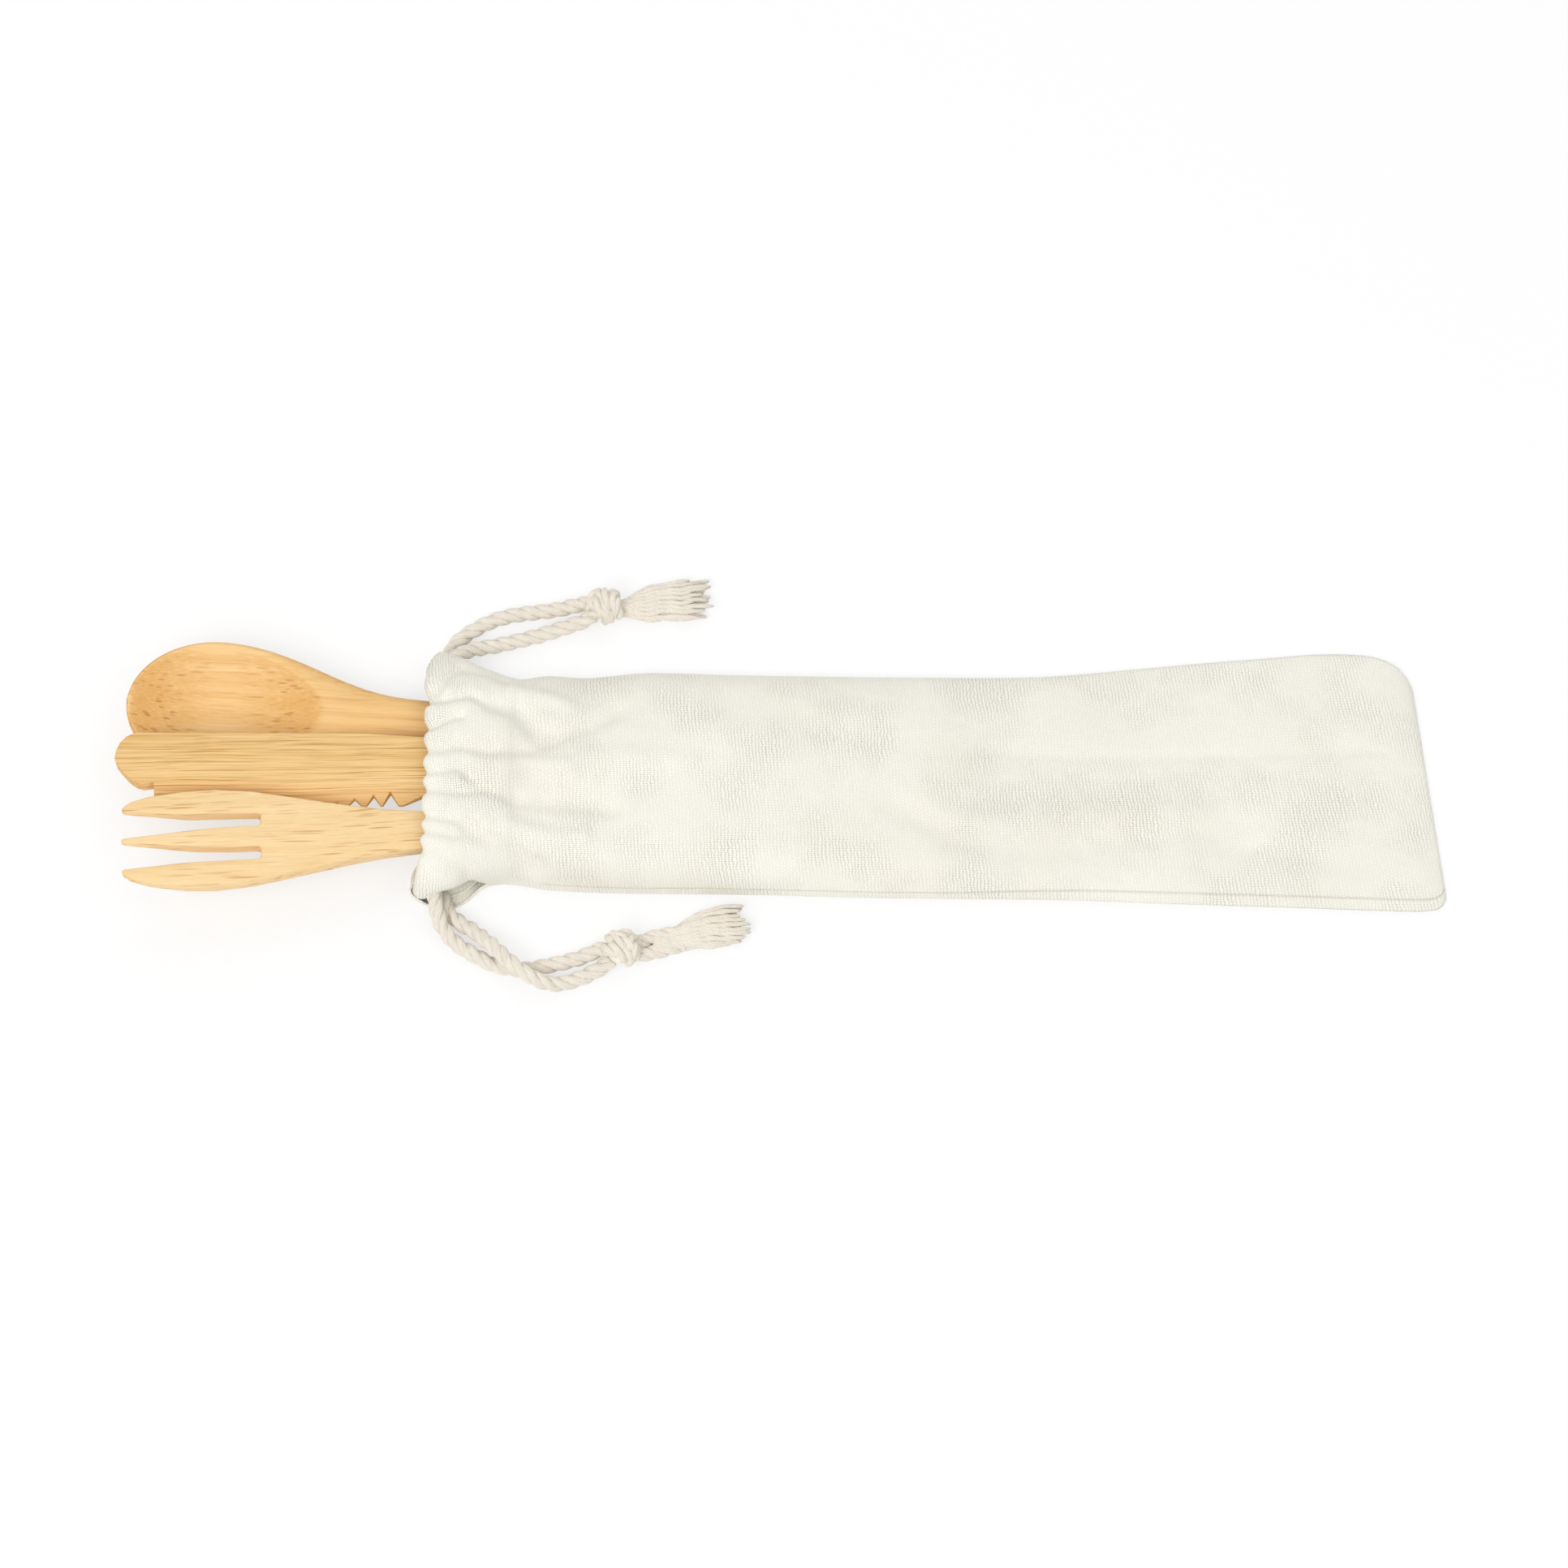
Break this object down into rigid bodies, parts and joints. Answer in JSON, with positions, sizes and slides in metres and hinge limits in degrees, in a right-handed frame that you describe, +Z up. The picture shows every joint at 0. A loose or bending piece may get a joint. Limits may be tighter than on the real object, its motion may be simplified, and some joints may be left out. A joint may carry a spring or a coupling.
{
  "type": "reusable cutlery set in a pouch",
  "caption": "Bamboo spoon, knife and fork held by their handles in a small flat cotton pouch with a gathered drawcord mouth, knots and frayed tassels.",
  "frame": {"origin": "middle of the set's length and width, without its free cords, at the level that the pouch lies on", "axes": "+X runs along the set from the utensils' heads to the pouch's closed end, +Y towards the spoon's side, +Z up from the surface that the pouch lies on"},
  "size_m": [0.3321, 0.1133, 0.0216],
  "materials": {
    "spoon_bamboo": "smooth sanded bamboo, satin",
    "knife_bamboo": "planed bamboo with fine parallel grain, satin",
    "fork_bamboo": "smooth sanded bamboo, satin",
    "cotton_cloth": "undyed plain-weave cotton, matt",
    "cotton_cord": "undyed twisted cotton cord, matt"
  },
  "bodies": {
    "root": {"spoon": "spoon_bamboo", "knife": "knife_bamboo", "fork": "fork_bamboo", "pouch": "cotton_cloth", "upper_cord_in_casing": "cotton_cord", "lower_cord_in_casing": "cotton_cord", "upper_strand_front": "cotton_cord", "upper_strand_back": "cotton_cord", "lower_strand_front": "cotton_cord", "lower_strand_back": "cotton_cord", "upper_knot": "cotton_cord", "lower_knot": "cotton_cord", "upper_tassel": "cotton_cord", "lower_tassel": "cotton_cord"}
  },
  "joints": []
}
